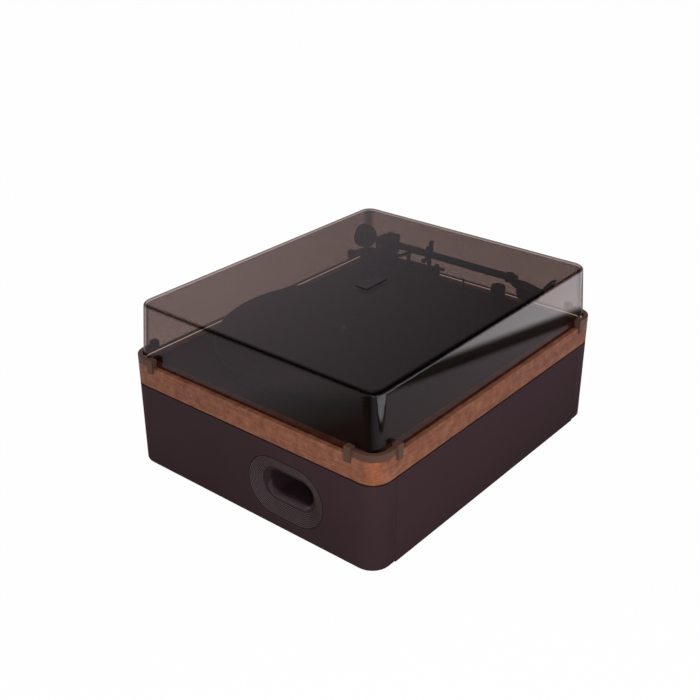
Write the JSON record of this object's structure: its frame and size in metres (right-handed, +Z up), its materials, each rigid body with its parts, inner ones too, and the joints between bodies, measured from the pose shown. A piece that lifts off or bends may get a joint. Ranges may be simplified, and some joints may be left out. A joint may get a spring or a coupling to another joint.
{
  "type": "record player",
  "caption": "Belt-driven record player in a dark cabinet with a veneered band, lift-off smoked cover, straight tonearm, built-in loudspeakers and a side bass port.",
  "frame": {"origin": "centre of the footprint, on the plane the feet stand on", "axes": "+X to the right seen from the front, +Y to the rear, +Z up"},
  "size_m": [0.429, 0.356, 0.2033],
  "materials": {
    "cabinet_wrap": "matte dark vinyl wrap with a faint grain",
    "raw_board": "raw fibreboard",
    "veneer": "satin walnut veneer",
    "deck_finish": "satin black",
    "grille_fabric": "tight dark grille cloth",
    "moulded_black": "fine-textured black moulding",
    "smoked_acrylic": "polished smoked acrylic",
    "clip_plastic": "soft grey-brown moulding",
    "platter_metal": "black anodised, turned",
    "black_rubber": "matte rubber",
    "bright_steel": "bright steel",
    "motor_steel": "dark plated steel",
    "ferrite": "dark ferrite",
    "cone_paper": null,
    "brass_parts": "turned brass",
    "arm_metal": "satin black metal",
    "weight_metal": "black turned drum",
    "dial_plastic": "black dial with plain numbers",
    "stylus_plastic": "coloured stylus moulding",
    "knob_metal": "black anodised, knurled",
    "socket_plastic": "moulded sockets",
    "circuit_board": "green board with parts"
  },
  "bodies": {
    "cabinet": {"cabinet_shell": "cabinet_wrap", "bottom_panel": "cabinet_wrap", "battens": "raw_board", "front_baffle": "raw_board", "wood_band": "veneer", "deck_plate": "deck_finish", "grille_cloth": "grille_fabric", "grille_frame": "moulded_black", "port_flange": "moulded_black", "port_duct": "moulded_black", "tonearm_base": "moulded_black", "arm_rest": "moulded_black", "rear_panel": "moulded_black", "volume_pot": "moulded_black", "speed_switch": "moulded_black", "rubber_feet": "black_rubber", "drive_belt": "black_rubber", "motor_grommets": "black_rubber", "bottom_screws": "bright_steel", "speaker_screws": "bright_steel", "motor": "motor_steel", "speaker_basket_left": "motor_steel", "speaker_basket_right": "motor_steel", "speaker_magnet_left": "ferrite", "speaker_magnet_right": "ferrite", "speaker_cone_left": "cone_paper", "speaker_cone_right": "cone_paper", "bearing_sleeve": "brass_parts", "dc_inlet": "socket_plastic", "headphone_jack": "socket_plastic", "rca_sockets": "socket_plastic", "main_board": "circuit_board"},
    "cover": {"dust_cover": "smoked_acrylic", "corner_clips": "clip_plastic", "cover_plate": "moulded_black"},
    "platter": {"platter": "platter_metal", "slip_mat": "black_rubber", "spindle": "bright_steel"},
    "pulley": {"motor_pulley": "brass_parts"},
    "yoke": {"arm_yoke": "arm_metal", "pivot_screws": "bright_steel"},
    "arm": {"bearing_block": "arm_metal", "arm_tube": "arm_metal"},
    "weight": {"counterweight": "weight_metal"},
    "dial": {"force_dial": "dial_plastic"},
    "collar": {"head_collar": "arm_metal"},
    "head": {"headshell": "moulded_black", "finger_lift": "arm_metal", "cartridge": "moulded_black", "cartridge_screws": "bright_steel"},
    "stylus": {"stylus_unit": "stylus_plastic"},
    "lever": {"cue_lever": "moulded_black"},
    "lift": {"lift_platform": "moulded_black"},
    "clip": {"arm_clip": "moulded_black"},
    "anti_skate": {"anti_skate_dial": "moulded_black"},
    "volume": {"volume_knob": "knob_metal", "volume_shaft": "bright_steel"},
    "speed": {"speed_lever": "knob_metal"},
    "power": {"power_rocker": "moulded_black"}
  },
  "joints": [
    {"name": "cover_lift", "type": "slide", "parent": "cabinet", "child": "cover", "axis": [0, 0, 1], "range_m": [0, 0.085]},
    {"name": "platter_spin", "type": "hinge", "parent": "cabinet", "child": "platter", "pos_m": [-0.03, 0.015, 0.14], "axis": [0, 0, -1], "continuous": true},
    {"name": "pulley_spin", "type": "hinge", "parent": "cabinet", "child": "pulley", "pos_m": [-0.09859, 0.08359, 0.136], "axis": [0, 0, -1], "continuous": true},
    {"name": "arm_swing", "type": "hinge", "parent": "cabinet", "child": "yoke", "pos_m": [0.156, 0.096, 0.181], "axis": [0, 0, 1], "range_deg": [-47, 0]},
    {"name": "arm_lower", "type": "hinge", "parent": "yoke", "child": "arm", "pos_m": [0.156, 0.096, 0.181], "axis": [1, 0, 0], "range_deg": [0, 2.6]},
    {"name": "weight_slide", "type": "slide", "parent": "arm", "child": "weight", "axis": [0, 1, 0], "range_m": [-0.01, 0.002]},
    {"name": "dial_turn", "type": "hinge", "parent": "weight", "child": "dial", "pos_m": [0.156, 0.1262, 0.181], "axis": [0, 1, 0], "range_deg": [-905, 185]},
    {"name": "collar_turn", "type": "hinge", "parent": "arm", "child": "collar", "pos_m": [0.156, -0.0885, 0.181], "axis": [0, -1, 0], "range_deg": [0, 60]},
    {"name": "head_pull", "type": "slide", "parent": "arm", "child": "head", "axis": [0, -1, 0], "range_m": [0, 0.012]},
    {"name": "stylus_pull", "type": "slide", "parent": "head", "child": "stylus", "axis": [-0.309, -0.9511, 0], "range_m": [0, 0.008]},
    {"name": "cue_lever_turn", "type": "hinge", "parent": "cabinet", "child": "lever", "pos_m": [0.165, 0.027, 0.1612], "axis": [1, 0, 0], "range_deg": [-60, 0]},
    {"name": "lift_drop", "type": "slide", "parent": "cabinet", "child": "lift", "axis": [0, 0, -1], "range_m": [0, 0.0035]},
    {"name": "clip_fold", "type": "hinge", "parent": "cabinet", "child": "clip", "pos_m": [0.165, 0.036, 0.1843], "axis": [0, 1, 0], "range_deg": [-90, 0]},
    {"name": "anti_skate_turn", "type": "hinge", "parent": "cabinet", "child": "anti_skate", "pos_m": [0.162, 0.122, 0.157], "axis": [0, 0, -1], "range_deg": [0, 270]},
    {"name": "volume_turn", "type": "hinge", "parent": "cabinet", "child": "volume", "pos_m": [0.183, -0.057, 0.14], "axis": [0, 0, -1], "range_deg": [0, 300]},
    {"name": "speed_slide", "type": "slide", "parent": "cabinet", "child": "speed", "axis": [0, 1, 0], "range_m": [-0.004, 0.004]},
    {"name": "power_rock", "type": "hinge", "parent": "cabinet", "child": "power", "pos_m": [0.145, 0.17, 0.062], "axis": [1, 0, 0], "range_deg": [-9, 9]}
  ],
  "couplings": [
    {"joint": "pulley_spin", "follows": "platter_spin", "ratio": 13.913},
    {"joint": "cue_lever_turn", "follows": "arm_lower", "ratio": -23.077},
    {"joint": "lift_drop", "follows": "arm_lower", "m_per_rad": 0.077128},
    {"joint": "dial_turn", "follows": "weight_slide", "rad_per_m": 1570.8}
  ]
}
